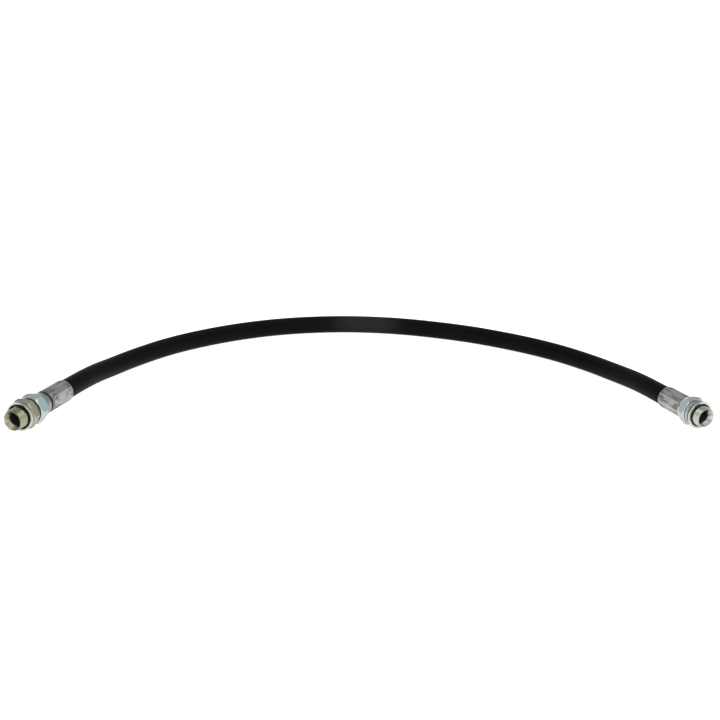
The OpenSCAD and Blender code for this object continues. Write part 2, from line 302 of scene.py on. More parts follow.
def placement(end):
    """Matrix that puts a fitting built along +X at its end of the hose, in metres."""
    ahead = outward(end)
    over = Vector((0, 0, 1))
    turn = Matrix((ahead, over.cross(ahead), over)).transposed().to_4x4()
    return Matrix.Translation(MOUTH[end] * MM) @ turn


def number(value, angle):
    """A plain value, or what a function gives at this angle."""
    return value(angle) if callable(value) else value


def on_axis(u, r, angle):
    """Point at distance u along the axis and r from it, in metres. Angle 0 is straight up."""
    return (u * MM, r * math.sin(angle) * MM, r * math.cos(angle) * MM)


def from_axis(v):
    """Distance along the axis, radius and angle of a vertex, in millimetres and radians."""
    return v.co.x / MM, math.hypot(v.co.y, v.co.z) / MM, math.atan2(v.co.y, v.co.z)


def plain(outline):
    """Gives an outline of (distance, radius) the first finish all over."""
    return [(u, r, PLATED) for u, r in outline]


def lathe(outline, sides=SIDES):
    """A bmesh from a closed outline of (distance, radius, material index). Each of the three
    may be a function of the angle."""
    bm = bmesh.new()
    rings = []
    for u, r, _ in outline:
        ring = []
        for k in range(sides):
            a = 2 * math.pi * k / sides
            ring.append(bm.verts.new(on_axis(number(u, a), number(r, a), a)))
        rings.append(ring)
    for i, ring in enumerate(rings):
        nxt = rings[(i + 1) % len(rings)]
        for k in range(sides):
            n = (k + 1) % sides
            face = bm.faces.new((ring[k], nxt[k], nxt[n], ring[n]))
            face.material_index = number(outline[i][2], (k + 0.5) * 2 * math.pi / sides)
    bmesh.ops.recalc_face_normals(bm, faces=bm.faces)
    return bm


def soften(bm, width, least=22):
    """Bevels the sharp edges and marks the middle of every bevel as worn."""
    brightened = bm.verts.layers.float.new("edge")
    bevelled = bm.faces.layers.int.new("bevel")
    edges = [e for e in bm.edges if e.is_manifold and e.calc_face_angle() > math.radians(least)]
    made = bmesh.ops.bevel(bm, geom=edges, offset=width * MM, segments=2, profile=0.6,
                           affect="EDGES", clamp_overlap=True)
    band = set(made["faces"])
    for v in bm.verts:
        v[brightened] = 1.0 if v.link_faces and all(f in band for f in v.link_faces) else 0.0
    for f in band:
        f[bevelled] = 1


def crisp(bm, sharpest=32, flattest=3):
    """Smooth shading that stops at sharp edges and at both borders of every bevel, so that a
    milled flat is shaded as a flat right up to its edge."""
    bevelled = bm.faces.layers.int["bevel"]
    for f in bm.faces:
        f.smooth = True
    for e in bm.edges:
        border = len({f[bevelled] for f in e.link_faces}) > 1
        angle = e.calc_face_angle() if e.is_manifold else 0
        e.smooth = angle <= math.radians(flattest if border else sharpest)


def add_piece(name, bm, end, body, stands_for, finishes):
    """Turns a bmesh into an object on its body, in place of the CAD node it stands for."""
    crisp(bm)
    mesh = bpy.data.meshes.new(name)
    bm.to_mesh(mesh)
    bm.free()
    obj = bpy.data.objects.new(name, mesh)
    scene.collection.objects.link(obj)
    obj.matrix_world = placement(end)
    bpy.context.view_layer.update()
    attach(obj, body)
    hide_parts(stands_for)
    for finish in finishes:
        mesh.materials.append(finish)
    print(name, len(mesh.polygons), "faces")
    return obj


print("lathe ready,", SIDES, "sides")

# %% [markdown]
# ## Hexagons and threads
#
# A hexagon's radius is half its width across flats, divided by the cosine of the angle from the
# middle of the nearest flat. Its ends are chamfered by a cone at 30 degrees, and the cone meets
# the flats in the curved line that every nut shows. Cutting a prism with a cone would give that
# line too, but with ragged faces beside it. Here its place is worked out for each angle, so the
# mesh has vertices exactly on it.

# %% Hexagon outline
AF = 27.0
CORNER_R = AF / 2 / math.cos(math.radians(30))
# Radius of the round end face, and rise of a 30 degree cone for each millimetre outwards
FACE_R = AF / 2 - 0.4
FOLD = math.tan(math.radians(30))


def hexagon_r(angle):
    """Distance from the axis to the hexagon's flats."""
    off = (angle + math.pi / 6) % (math.pi / 3) - math.pi / 6
    return AF / 2 / math.cos(off)


def hexagon(start, finish, inner_r, inner_l, tint=PLATED):
    """Outline of a hexagon. Its inner end starts at inner_r and reaches the corners over
    inner_l, and its outer end has the common chamfer. tint is the finish of its flats."""
    slope = (CORNER_R - inner_r) / inner_l

    def foot(a):
        return min(inner_r, hexagon_r(a))

    def rise(a):
        return start + max(0, hexagon_r(a) - inner_r) / slope

    def fall(a):
        return finish - (hexagon_r(a) - FACE_R) * FOLD

    return [(start, foot, PLATED), (rise, hexagon_r, tint), (fall, hexagon_r, PLATED),
            (finish, FACE_R, PLATED)]


def between(low, high, index):
    """One finish on the clock angles from low to high degrees, and the first one elsewhere."""
    return lambda a: index if low < math.degrees(a) < high else PLATED


print("hexagon", AF, "mm across flats,", round(2 * CORNER_R, 1), "mm across corners")

# %% [markdown]
# The thread is a ridge that winds round the stud once for every 1.814 mm. Rings stacked on the
# stud would look alike from far off, but a real thread climbs, so a small rounded ridge is swept
# along a helix. Its height fades in at the start and is cut by the chamfer at the stud's end.
# Its crests are marked bright, a painted highlight, and its flanks as deep, which the materials
# darken with grime and painted shade.

# %% Thread ridge
PITCH_MM = 1.8143
THREAD_R = 10.4775
ROOT_R = THREAD_R - 1.0
# Section of the ridge: place in pitches beside its middle, and share of the full height
RIDGE = ((-0.47, 0), (-0.1, 0.97), (0, 1), (0.1, 0.97), (0.47, 0))
# The ridge starts and ends this share of a turn inside the threaded length
RUN_IN = 0.375


def root_layer(bm):
    """The layer that says how deep a vertex lies in oil and dirt."""
    return bm.verts.layers.float.get("root") or bm.verts.layers.float.new("root")


def thread_ridge(bm, start, finish, limit, skin, steps=48):
    """Sweeps the ridge from start to finish. limit(u) is the largest radius it may reach."""
    turns = (finish - start) / PITCH_MM - 2 * RUN_IN
    sunk, crest = ROOT_R - 0.12, THREAD_R - 0.08
    deep = root_layer(bm)
    brightened = bm.verts.layers.float["edge"]
    sections = []
    for i in range(int(turns * steps) + 1):
        turn = i / steps
        middle_u = start + (turn + RUN_IN) * PITCH_MM
        fade = max(0.05, min(1, turn / 0.3, (turns - turn) / 0.12 + 0.05))
        section = []
        for aside, height in RIDGE:
            u = middle_u + aside * PITCH_MM
            r = min(sunk + (crest - sunk) * height * fade, limit(u))
            vert = bm.verts.new(on_axis(u, r, 2 * math.pi * turn))
            # Flanks are marked deep for grime and painted shade, crests bright for a painted
            # highlight
            vert[deep] = 1 - height
            vert[brightened] = 0.8 * height
            section.append(vert)
        sections.append(section)
    faces = []
    for s, t in zip(sections, sections[1:]):
        for j, vert in enumerate(s):
            k = (j + 1) % len(s)
            faces.append(bm.faces.new((vert, t[j], t[k], s[k])))
    faces.append(bm.faces.new(sections[0]))
    faces.append(bm.faces.new(sections[-1][::-1]))
    for face in faces:
        face.material_index = skin
    bmesh.ops.recalc_face_normals(bm, faces=faces)


print("thread pitch", PITCH_MM, "mm, radius", THREAD_R, "mm")

# %% [markdown]
# ## Distances along the fittings
#
# Each fitting is measured from its ferrule's mouth in the CAD model, with the same sums along it
# that the CAD model makes, so that every shoulder lands where a solid has it. The mouths' holes
# and the left seal's rubber are a little wider here than in the solids, and the left stud's
# relief groove is shorter.

# %% Stations of both ends
# Ferrule and the front lip that drops into the insert's groove
FERRULE_L, FERRULE_R, LIP_T = 38.0, 11.6, 7.0
# Stop collar and coned head of the left insert
COLLAR_L, COLLAR_R = 2.5, 11.5
NUT_START = FERRULE_L + COLLAR_L + 2
HEAD_R, HEAD_NECK_R = 9.5, 8.0
HEAD_START = NUT_START + 2.5
HEAD_END = HEAD_START + 8
# Swivel nut: swaged neck, cone, hexagon. RIM_T is the thickness of the rim behind the head
NECK_R, RIM_T = 11.5, 2.4
NUT_NECK = NUT_START + 3.5
NUT_HEX = NUT_NECK + 6.5
# Cone in a stud's mouth, and the oil bores of studs and inserts
CONE_R, PORT_R, INSERT_R = 9.1, 6.2, 4.8
CONE_L = (CONE_R - PORT_R) / FOLD
# Adaptor: rear stud that sits on the head, hexagon, turned seat, front stud. CLEAR is the room
# between the nut and what is in it
CLEAR = 0.07
STUD_L = 13.3
SEAT_R = 13.3
ADAPTOR_START = HEAD_END + (HEAD_R + CLEAR - CONE_R) / FOLD
ADAPTOR_HEX = ADAPTOR_START + 14.5
ADAPTOR_SEAT = ADAPTOR_HEX + 8.7
SHOULDER_A = ADAPTOR_SEAT + 2.4
TIP_A = SHOULDER_A + STUD_L
NUT_END = ADAPTOR_HEX - 4
# Right insert: hexagon, turned seat, stud
BODY_SEAT = FERRULE_L + 11.5
SHOULDER_B = BODY_SEAT + 4.5
TIP_B = SHOULDER_B + STUD_L
# Bonded seals, their steel rings' holes and their gaps. The right one has slid off its shoulder
SEAL_T, SEAL_R, RUBBER_R = 2.5, 14.3, 10.75
RING_R = {"a": 12.6, "b": 12.1}
SEAL_A_GAP, SEAL_B_GAP = 0.05, 2.4
# Relief grooves behind the threads: the rear stud's, the left one's and the right one's
RELIEF_R = THREAD_R - 1.2
REAR_RELIEF, RELIEF_A, RELIEF_B = 4.0, 2.6, SEAL_B_GAP + SEAL_T + 0.2
# The threads start 1 mm inside their reliefs
THREAD_A = SHOULDER_A + RELIEF_A - 1
THREAD_B = SHOULDER_B + RELIEF_B - 1
print("tip A at", round(TIP_A, 2), "tip B at", round(TIP_B, 2))

# %% [markdown]
# ## Effects that several finishes share
#
# A node group is a small machine with named inputs and outputs. It is built once and placed in
# each material with its own numbers. The groups here give colours, masks and heights only. The
# shader itself stays in the material.

# %% Helpers for node groups
def new_group(name, inputs, outputs):
    """An empty shader node group with its sockets. Returns the tree and both ends."""
    tree = bpy.data.node_groups.new(name, "ShaderNodeTree")
    for label, kind, value in inputs:
        socket = tree.interface.new_socket(name=label, in_out="INPUT", socket_type=kind)
        socket.default_value = value
    for label, kind in outputs:
        tree.interface.new_socket(name=label, in_out="OUTPUT", socket_type=kind)
    return tree, tree.nodes.new("NodeGroupInput"), tree.nodes.new("NodeGroupOutput")


def node(tree, kind, **settings):
    """A node with its settings. A name that is a socket sets the socket's value."""
    made = tree.nodes.new(kind)
    for key, value in settings.items():
        if hasattr(made, key):
            setattr(made, key, value)
        else:
            made.inputs[key.replace("_", " ")].default_value = value
    return made


def math_node(tree, operation, a, b=None, clamp=False):
    """A Math node. a and b are numbers or sockets. Returns its output."""
    made = tree.nodes.new("ShaderNodeMath")
    made.operation = operation
    made.use_clamp = clamp
    for i, value in enumerate((a, b)):
        if value is None:
            continue
        if isinstance(value, (int, float)):
            made.inputs[i].default_value = value
        else:
            tree.links.new(value, made.inputs[i])
    return made.outputs[0]


def mix_colour(tree, mask, a, b):
    """A colour Mix node. Each value is a colour or a socket. Returns its output."""
    made = tree.nodes.new("ShaderNodeMix")
    made.data_type = "RGBA"
    for slot, value in ((0, mask), (6, a), (7, b)):
        if hasattr(value, "links"):
            tree.links.new(value, made.inputs[slot])
        else:
            made.inputs[slot].default_value = value
    return made.outputs[2]


def remap(tree, value, low, high, to_low=0.0, to_high=1.0):
    """Stretches a value to a new range, smoothly and clamped."""
    made = tree.nodes.new("ShaderNodeMapRange")
    made.interpolation_type = "SMOOTHSTEP"
    tree.links.new(value, made.inputs["Value"])
    for label, limit in (("From Min", low), ("From Max", high),
                         ("To Min", to_low), ("To Max", to_high)):
        made.inputs[label].default_value = limit
    return made.outputs["Result"]


print("node helpers ready")

# %% [markdown]
# **Lathe marks.** A lathe leaves fine rings round the axis. Every fitting is built along its own
# X axis, so noise that is stretched over X and over the distance from the axis, and that does
# not change with the angle, gives the rings both on the turned sides and on the end faces.

# %% Group: lathe marks
def build_lathe_marks():
    """Rings round the axis, as a height and as a shade."""
    tree, gin, gout = new_group(
        "lathe_marks",
        [("Rings per mm", "NodeSocketFloat", 2.5), ("Depth", "NodeSocketFloat", 1.0)],
        [("Height", "NodeSocketFloat"), ("Shade", "NodeSocketFloat")])
    place = node(tree, "ShaderNodeTexCoord")
    split = node(tree, "ShaderNodeSeparateXYZ")
    tree.links.new(place.outputs["Object"], split.inputs[0])
    y2 = math_node(tree, "MULTIPLY", split.outputs["Y"], split.outputs["Y"])
    z2 = math_node(tree, "MULTIPLY", split.outputs["Z"], split.outputs["Z"])
    radius = math_node(tree, "SQRT", math_node(tree, "ADD", y2, z2))
    scale = math_node(tree, "MULTIPLY", gin.outputs["Rings per mm"], 1000)
    join = node(tree, "ShaderNodeCombineXYZ")
    tree.links.new(math_node(tree, "MULTIPLY", split.outputs["X"], scale), join.inputs[0])
    tree.links.new(math_node(tree, "MULTIPLY", radius, scale), join.inputs[1])
    noise = node(tree, "ShaderNodeTexNoise", Scale=1.0, Detail=2.0, Roughness=0.6)
    tree.links.new(join.outputs[0], noise.inputs["Vector"])
    height = math_node(tree, "MULTIPLY", noise.outputs["Fac"], gin.outputs["Depth"])
    tree.links.new(height, gout.inputs["Height"])
    tree.links.new(remap(tree, noise.outputs["Fac"], 0.3, 0.7), gout.inputs["Shade"])
    return tree


LATHE_MARKS = build_lathe_marks()
print("group:", LATHE_MARKS.name)

# %% [markdown]
# **Plating.** Zinc plating is never one even colour. The passivation on it drifts between two
# tints in soft patches a few millimetres wide, and small spots are duller than the rest.

# %% Group: plating
def build_plating():
    """A tint and a roughness that drift over the surface."""
    tree, gin, gout = new_group(
        "plating",
        [("First tint", "NodeSocketColor", (0.6, 0.6, 0.6, 1)),
         ("Second tint", "NodeSocketColor", (0.5, 0.5, 0.5, 1)),
         ("Patch mm", "NodeSocketFloat", 5.0), ("Roughness", "NodeSocketFloat", 0.25),
         ("Dullness", "NodeSocketFloat", 0.15)],
        [("Colour", "NodeSocketColor"), ("Roughness", "NodeSocketFloat")])
    place = node(tree, "ShaderNodeTexCoord")
    scale = math_node(tree, "DIVIDE", 1000, gin.outputs["Patch mm"])
    patches = node(tree, "ShaderNodeTexNoise", Detail=3.0, Roughness=0.55, Distortion=0.4)
    tree.links.new(place.outputs["Object"], patches.inputs["Vector"])
    tree.links.new(scale, patches.inputs["Scale"])
    mask = remap(tree, patches.outputs["Fac"], 0.36, 0.64)
    colour = mix_colour(tree, mask, gin.outputs["First tint"], gin.outputs["Second tint"])
    spots = node(tree, "ShaderNodeTexNoise", Detail=4.0, Roughness=0.7)
    tree.links.new(place.outputs["Object"], spots.inputs["Vector"])
    tree.links.new(math_node(tree, "MULTIPLY", scale, 4.3), spots.inputs["Scale"])
    dull = math_node(tree, "MULTIPLY", remap(tree, spots.outputs["Fac"], 0.45, 0.75),
                     gin.outputs["Dullness"])
    tree.links.new(colour, gout.inputs["Colour"])
    tree.links.new(math_node(tree, "ADD", gin.outputs["Roughness"], dull),
                   gout.inputs["Roughness"])
    return tree


PLATING = build_plating()
print("group:", PLATING.name)

# %% [markdown]
# ** Worn edges.** The lathe helper marked the middle of every bevel with a number called edge.
# Spanners and handling polish those edges, so the colour there goes towards bare bright metal,
# broken up by noise so that it doesn't look drawn on. The thread's crests and the ferrules'
# ridges carry the same number, and there the bright metal is a painted highlight.

# %% Group: worn and highlighted edges
def build_edge_wear_and_highlight():
    """Bare bright metal on the marked vertices: wear on bevels, a painted highlight on thread
    crests and ferrule ridges.
    """
    tree, gin, gout = new_group(
        "edge_wear_and_highlight",
        [("Colour", "NodeSocketColor", (0.5, 0.5, 0.5, 1)),
         ("Bare metal", "NodeSocketColor", (0.8, 0.8, 0.8, 1)),
         ("Amount", "NodeSocketFloat", 0.6)],
        [("Colour", "NodeSocketColor"), ("Worn", "NodeSocketFloat")])
    edge = node(tree, "ShaderNodeAttribute", attribute_name="edge")
    place = node(tree, "ShaderNodeTexCoord")
    noise = node(tree, "ShaderNodeTexNoise", Scale=420.0, Detail=3.0, Roughness=0.65)
    tree.links.new(place.outputs["Object"], noise.inputs["Vector"])
    broken = remap(tree, noise.outputs["Fac"], 0.35, 0.6, 0.35, 1.0)
    brightened = math_node(tree, "MULTIPLY", edge.outputs["Fac"], broken)
    brightened = math_node(tree, "MULTIPLY", brightened, gin.outputs["Amount"], clamp=True)
    tree.links.new(mix_colour(tree, brightened, gin.outputs["Colour"], gin.outputs["Bare metal"]),
                   gout.inputs["Colour"])
    tree.links.new(brightened, gout.inputs["Worn"])
    return tree


EDGE_WEAR_AND_HIGHLIGHT = build_edge_wear_and_highlight()
print("group:", EDGE_WEAR_AND_HIGHLIGHT.name)

# %% [markdown]
# ** Thread roots.** The thread helper marked how deep each point of a thread lies. Oil and
# dirt stay in the roots and shade falls there, so the colour there goes dark, partly grime and
# partly painted shade, and the crests stay bright. The marked spot in a mouth's cone uses the
# same layer, and there the darkening is painted shade.

# %% Group: root grime and shade
def build_root_grime_and_shade():
    """Grime and painted shade on the vertices that are marked as roots."""
    tree, gin, gout = new_group(
        "root_grime_and_shade",
        [("Colour", "NodeSocketColor", (0.5, 0.5, 0.5, 1)),
         ("Grime", "NodeSocketColor", (0.05, 0.05, 0.04, 1)),
         ("Amount", "NodeSocketFloat", 0.9)],
        [("Colour", "NodeSocketColor")])
    root = node(tree, "ShaderNodeAttribute", attribute_name="root")
    deep = remap(tree, root.outputs["Fac"], 0.05, 0.75)
    mask = math_node(tree, "MULTIPLY", deep, gin.outputs["Amount"], clamp=True)
    tree.links.new(mix_colour(tree, mask, gin.outputs["Colour"], gin.outputs["Grime"]),
                   gout.inputs["Colour"])
    return tree


ROOT_GRIME_AND_SHADE = build_root_grime_and_shade()
print("group:", ROOT_GRIME_AND_SHADE.name)

# %% [markdown]
# **Rubber skin.** Moulded or extruded rubber has a very fine grain and a faint grey bloom that
# comes and goes over a few centimetres.

# %% Group: rubber skin
def build_rubber_skin():
    """Black with a drifting bloom, and fine grain."""
    tree, gin, gout = new_group(
        "rubber_skin",
        [("Black", "NodeSocketColor", (0.01, 0.01, 0.01, 1)),
         ("Bloom", "NodeSocketColor", (0.02, 0.02, 0.02, 1)),
         ("Bloom mm", "NodeSocketFloat", 30.0), ("Grain per mm", "NodeSocketFloat", 2.0),
         ("Roughness", "NodeSocketFloat", 0.45)],
        [("Colour", "NodeSocketColor"), ("Roughness", "NodeSocketFloat"),
         ("Height", "NodeSocketFloat")])
    place = node(tree, "ShaderNodeTexCoord")
    bloom = node(tree, "ShaderNodeTexNoise", Detail=3.0, Roughness=0.5)
    tree.links.new(place.outputs["Object"], bloom.inputs["Vector"])
    tree.links.new(math_node(tree, "DIVIDE", 1000, gin.outputs["Bloom mm"]),
                   bloom.inputs["Scale"])
    mask = remap(tree, bloom.outputs["Fac"], 0.35, 0.7)
    tree.links.new(mix_colour(tree, mask, gin.outputs["Black"], gin.outputs["Bloom"]),
                   gout.inputs["Colour"])
    grain = node(tree, "ShaderNodeTexNoise", Detail=2.0, Roughness=0.6)
    tree.links.new(place.outputs["Object"], grain.inputs["Vector"])
    tree.links.new(math_node(tree, "MULTIPLY", gin.outputs["Grain per mm"], 1000),
                   grain.inputs["Scale"])
    tree.links.new(grain.outputs["Fac"], gout.inputs["Height"])
    rough = math_node(tree, "ADD", gin.outputs["Roughness"],
                      math_node(tree, "MULTIPLY", mask, 0.08))
    tree.links.new(rough, gout.inputs["Roughness"])
    return tree


RUBBER_SKIN = build_rubber_skin()
print("group:", RUBBER_SKIN.name)

# %% [markdown]
# ## Materials
#
# Each material is one Principled shader that is fed by the groups. Painted pictures could give
# the same marks, but they would blur when the camera comes close, and noise doesn't. Metalness
# is a plain number on the shader's own socket, because it is the same all over.

# %% Material helpers
def new_material(name, metallic):
    """A material with its node tree and its Principled shader."""
    mat = bpy.data.materials.new(name)
    mat.use_nodes = True
    tree = mat.node_tree
    shader = tree.nodes["Principled BSDF"]
    shader.inputs["Metallic"].default_value = metallic
    return mat, tree, shader


def place_group(tree, group, **values):
    """Places a shared group in a material, with this material's own values."""
    made = tree.nodes.new("ShaderNodeGroup")
    made.node_tree = group
    for key, value in values.items():
        made.inputs[key.replace("_", " ")].default_value = value
    return made


def add_bump(tree, shader, height, distance_mm, strength=1.0):
    """Lets a height stand out of the surface by up to distance_mm."""
    bump = tree.nodes.new("ShaderNodeBump")
    bump.inputs["Strength"].default_value = strength
    bump.inputs["Distance"].default_value = distance_mm * MM
    tree.links.new(height, bump.inputs["Height"])
    tree.links.new(bump.outputs["Normal"], shader.inputs["Normal"])


def distance_from(tree, place, x_mm):
    """Distance along the object's X axis from the plane at x_mm, in metres."""
    split = node(tree, "ShaderNodeSeparateXYZ")
    tree.links.new(place.outputs["Object"], split.inputs[0])
    return math_node(tree, "ABSOLUTE", math_node(tree, "SUBTRACT", split.outputs["X"], x_mm * MM))


print("groups to place:", [g.name for g in (LATHE_MARKS, PLATING, EDGE_WEAR_AND_HIGHLIGHT, ROOT_GRIME_AND_SHADE)])

# %% [markdown]
# ** Zinc finishes.** All the machined steel is zinc plated, and the passivation after it differs: the
# adaptor came out olive, the nut pale blue, the right insert silver with a lilac tinge. One
# function makes them all, so they differ in their numbers alone. Threads hold more of the
# passivation than flats do, cones are turned finer, and the neck of the nut was rolled after
# plating, so these have finishes of their own. Two more are painted light: a bluer copy of the
# nut's zinc is a painted reflection on one of its flats, and a darker teal zinc is painted shade
# in the right insert's undercut and at the edges of its seat.

# %% Finishes of the fittings
MARKS_SHADE = (0.2, 0.2, 0.17, 1)


def plated(name, first, second, patch_mm, rough, dull, bare, wear_and_highlight, rings=3.0, depth_mm=0.002,
           grime_and_shade=(0.10, 0.11, 0.08, 1)):
    """Plated and turned steel: drifting tint, lathe rings, thread roots darkened by grime and
    painted shade, edges brightened by wear and a painted highlight.
    """
    mat, tree, shader = new_material(name, 1.0)
    coat = place_group(tree, PLATING, First_tint=first, Second_tint=second, Patch_mm=patch_mm,
                       Roughness=rough, Dullness=dull)
    marks = place_group(tree, LATHE_MARKS, Rings_per_mm=rings, Depth=1.0)
    shade = mix_colour(tree, remap(tree, marks.outputs["Shade"], 0, 1, 0.0, 0.1),
                       coat.outputs["Colour"], MARKS_SHADE)
    # Thread roots and the marked spot of a mouth's cone go dark: grime, and painted shade
    roots = place_group(tree, ROOT_GRIME_AND_SHADE, Grime=grime_and_shade, Amount=0.8)
    tree.links.new(shade, roots.inputs["Colour"])
    # Bevels go bright with wear, thread crests with a painted highlight
    edges = place_group(tree, EDGE_WEAR_AND_HIGHLIGHT, Bare_metal=bare, Amount=wear_and_highlight)
    tree.links.new(roots.outputs["Colour"], edges.inputs["Colour"])
    tree.links.new(edges.outputs["Colour"], shader.inputs["Base Color"])
    smooth = math_node(tree, "MULTIPLY", edges.outputs["Worn"], -0.08)
    tree.links.new(math_node(tree, "ADD", coat.outputs["Roughness"], smooth),
                   shader.inputs["Roughness"])
    add_bump(tree, shader, marks.outputs["Height"], depth_mm, 0.6)
    return mat


olive = plated("olive_zinc", first=(0.455, 0.455, 0.35, 1), second=(0.42, 0.425, 0.31, 1),
               patch_mm=4, rough=0.22, dull=0.08, bare=(0.74, 0.72, 0.62, 1), wear_and_highlight=0.8,
               depth_mm=0.004)
dull_olive = plated("dull_olive_zinc", first=(0.27, 0.265, 0.185, 1),
                    second=(0.22, 0.205, 0.15, 1), patch_mm=5, rough=0.3, dull=0.1,
                    bare=(0.5, 0.48, 0.38, 1), wear_and_highlight=0.5, depth_mm=0.004)
blue = plated("blue_zinc", first=(0.61, 0.69, 0.715, 1), second=(0.65, 0.69, 0.715, 1),
              patch_mm=8, rough=0.17, dull=0.06, bare=(0.92, 0.93, 0.86, 1), wear_and_highlight=0.85)
# A bluer copy of blue_zinc: a painted reflection on one flat of the nut
painted_reflection_blue = plated("painted_reflection_zinc", first=(0.50, 0.69, 0.715, 1), second=(0.55, 0.69, 0.70, 1),
                   patch_mm=8, rough=0.17, dull=0.06, bare=(0.92, 0.93, 0.86, 1), wear_and_highlight=0.85)
swaged = plated("swaged_zinc", first=(0.44, 0.43, 0.44, 1), second=(0.33, 0.30, 0.31, 1),
                patch_mm=4, rough=0.3, dull=0.1, bare=(0.7, 0.7, 0.7, 1), wear_and_highlight=0.6, rings=1.2,
                depth_mm=0.01)
# Darker teal zinc: painted shade in the right insert's undercut and at its seat's edges
shaded_zinc = plated("shaded_zinc", first=(0.30, 0.37, 0.36, 1), second=(0.22, 0.28, 0.27, 1),
                     patch_mm=5, rough=0.25, dull=0.1, bare=(0.6, 0.64, 0.62, 1), wear_and_highlight=0.3,
                     depth_mm=0.003)
stud_olive = plated("stud_olive_zinc", first=(0.42, 0.42, 0.285, 1), second=(0.37, 0.375, 0.25, 1),
                    patch_mm=4, rough=0.24, dull=0.08, bare=(0.74, 0.73, 0.56, 1), wear_and_highlight=0.8,
                    depth_mm=0.004)
stud_zinc = plated("stud_zinc", first=(0.63, 0.66, 0.62, 1), second=(0.66, 0.67, 0.60, 1),
                   patch_mm=6, rough=0.2, dull=0.06, bare=(0.92, 0.92, 0.83, 1), wear_and_highlight=0.85,
                   grime_and_shade=(0.26, 0.27, 0.21, 1))
lilac = plated("lilac_zinc", first=(0.63, 0.67, 0.715, 1), second=(0.67, 0.69, 0.70, 1),
               patch_mm=6, rough=0.17, dull=0.06, bare=(0.92, 0.92, 0.86, 1), wear_and_highlight=0.85,
               grime_and_shade=(0.30, 0.31, 0.27, 1))
pressed = plated("pressed_zinc", first=(0.74, 0.75, 0.71, 1), second=(0.68, 0.71, 0.66, 1),
                 patch_mm=5, rough=0.2, dull=0.06, bare=(0.88, 0.89, 0.86, 1), wear_and_highlight=0.5,
                 rings=2.0, depth_mm=0.003)
warm_cone = plated("warm_cone", first=(0.76, 0.70, 0.58, 1), second=(0.66, 0.62, 0.49, 1),
                   patch_mm=6, rough=0.25, dull=0.04, bare=(0.88, 0.85, 0.76, 1), wear_and_highlight=0.6,
                   rings=2.0, depth_mm=0.0005)
bright_cone = plated("bright_cone", first=(0.86, 0.85, 0.79, 1), second=(0.76, 0.76, 0.71, 1),
                     patch_mm=6, rough=0.22, dull=0.04, bare=(0.9, 0.9, 0.86, 1), wear_and_highlight=0.6,
                     rings=2.0, depth_mm=0.0005, grime_and_shade=(0.12, 0.11, 0.1, 1))
ZINC = (olive, dull_olive, blue, painted_reflection_blue, swaged, shaded_zinc, stud_olive, stud_zinc, lilac,
        pressed, warm_cone, bright_cone)
print("finishes:", ", ".join(mat.name for mat in ZINC))

# %% [markdown]
# ** Bores and ferrules.** The bores, and the relief grooves behind the threads, take a near-black
# dull steel, which is painted shade for their dark insides. The crimped ferrules are pressed by
# the dies of a crimping machine, which leaves long dull smears and darker rubbed patches on a
# satin zinc surface. Noise that is stretched along the ferrule gives the smears, and it is
# shifted so that more of them are rubbed near both ends.

# %% Dark bore and crimped steel
def build_painted_shade_steel():
    """Near-black steel, painted shade for bores and grooves, with coarse marks of the drill."""
    mat, tree, shader = new_material("painted_shade_steel", 0.6)
    coat = place_group(tree, PLATING, First_tint=(0.07, 0.075, 0.06, 1),
                       Second_tint=(0.10, 0.10, 0.085, 1), Patch_mm=3.0, Roughness=0.5,
                       Dullness=0.2)
    tree.links.new(coat.outputs["Colour"], shader.inputs["Base Color"])
    tree.links.new(coat.outputs["Roughness"], shader.inputs["Roughness"])
    marks = place_group(tree, LATHE_MARKS, Rings_per_mm=1.5, Depth=1.0)
    add_bump(tree, shader, marks.outputs["Height"], 0.03)
    return mat


def build_crimped():
    """Satin zinc with smears along the ferrule, and ridges brightened as a painted highlight."""
    mat, tree, shader = new_material("crimped_steel", 1.0)
    coat = place_group(tree, PLATING, First_tint=(0.50, 0.54, 0.54, 1),
                       Second_tint=(0.46, 0.44, 0.41, 1), Patch_mm=7.0, Roughness=0.3,
                       Dullness=0.15)
    place = node(tree, "ShaderNodeTexCoord")
    stretch = node(tree, "ShaderNodeMapping", Scale=(0.3, 1.0, 1.0))
    tree.links.new(place.outputs["Object"], stretch.inputs["Vector"])
    smear = node(tree, "ShaderNodeTexNoise", Scale=230.0, Detail=4.0, Roughness=0.6)
    tree.links.new(stretch.outputs[0], smear.inputs["Vector"])
    off_middle = distance_from(tree, place, (FERRULE_IN + FERRULE_L) / 2)
    near_ends = remap(tree, off_middle, 4 * MM, 14 * MM, -0.06, 0.07)
    rubbed = remap(tree, math_node(tree, "ADD", smear.outputs["Fac"], near_ends),
                   0.43, 0.64, 0.0, 0.85)
    dark = mix_colour(tree, rubbed, coat.outputs["Colour"], (0.19, 0.175, 0.16, 1))
    # The ridge tops go bright here: a painted highlight
    edges = place_group(tree, EDGE_WEAR_AND_HIGHLIGHT, Bare_metal=(0.86, 0.86, 0.82, 1), Amount=1.0)
    tree.links.new(dark, edges.inputs["Colour"])
    tree.links.new(edges.outputs["Colour"], shader.inputs["Base Color"])
    rough = math_node(tree, "ADD", coat.outputs["Roughness"],
                      math_node(tree, "MULTIPLY", rubbed, 0.12))
    tree.links.new(rough, shader.inputs["Roughness"])
    add_bump(tree, shader, smear.outputs["Fac"], 0.06, 0.5)
    return mat


painted_shade_steel = build_painted_shade_steel()
crimped = build_crimped()
print("finishes:", painted_shade_steel.name, crimped.name)

# %% [markdown]
# ** Rubber.** The cover is extruded and wiped smooth, and the seals' lips are moulded against
# steel, so both are deep black with a faint sheen. A lower index of refraction than usual keeps
# that sheen weak. A soft grey patch on the crown of the bow is a painted sheen, which a mask
# along X adds to the cover's finished material.

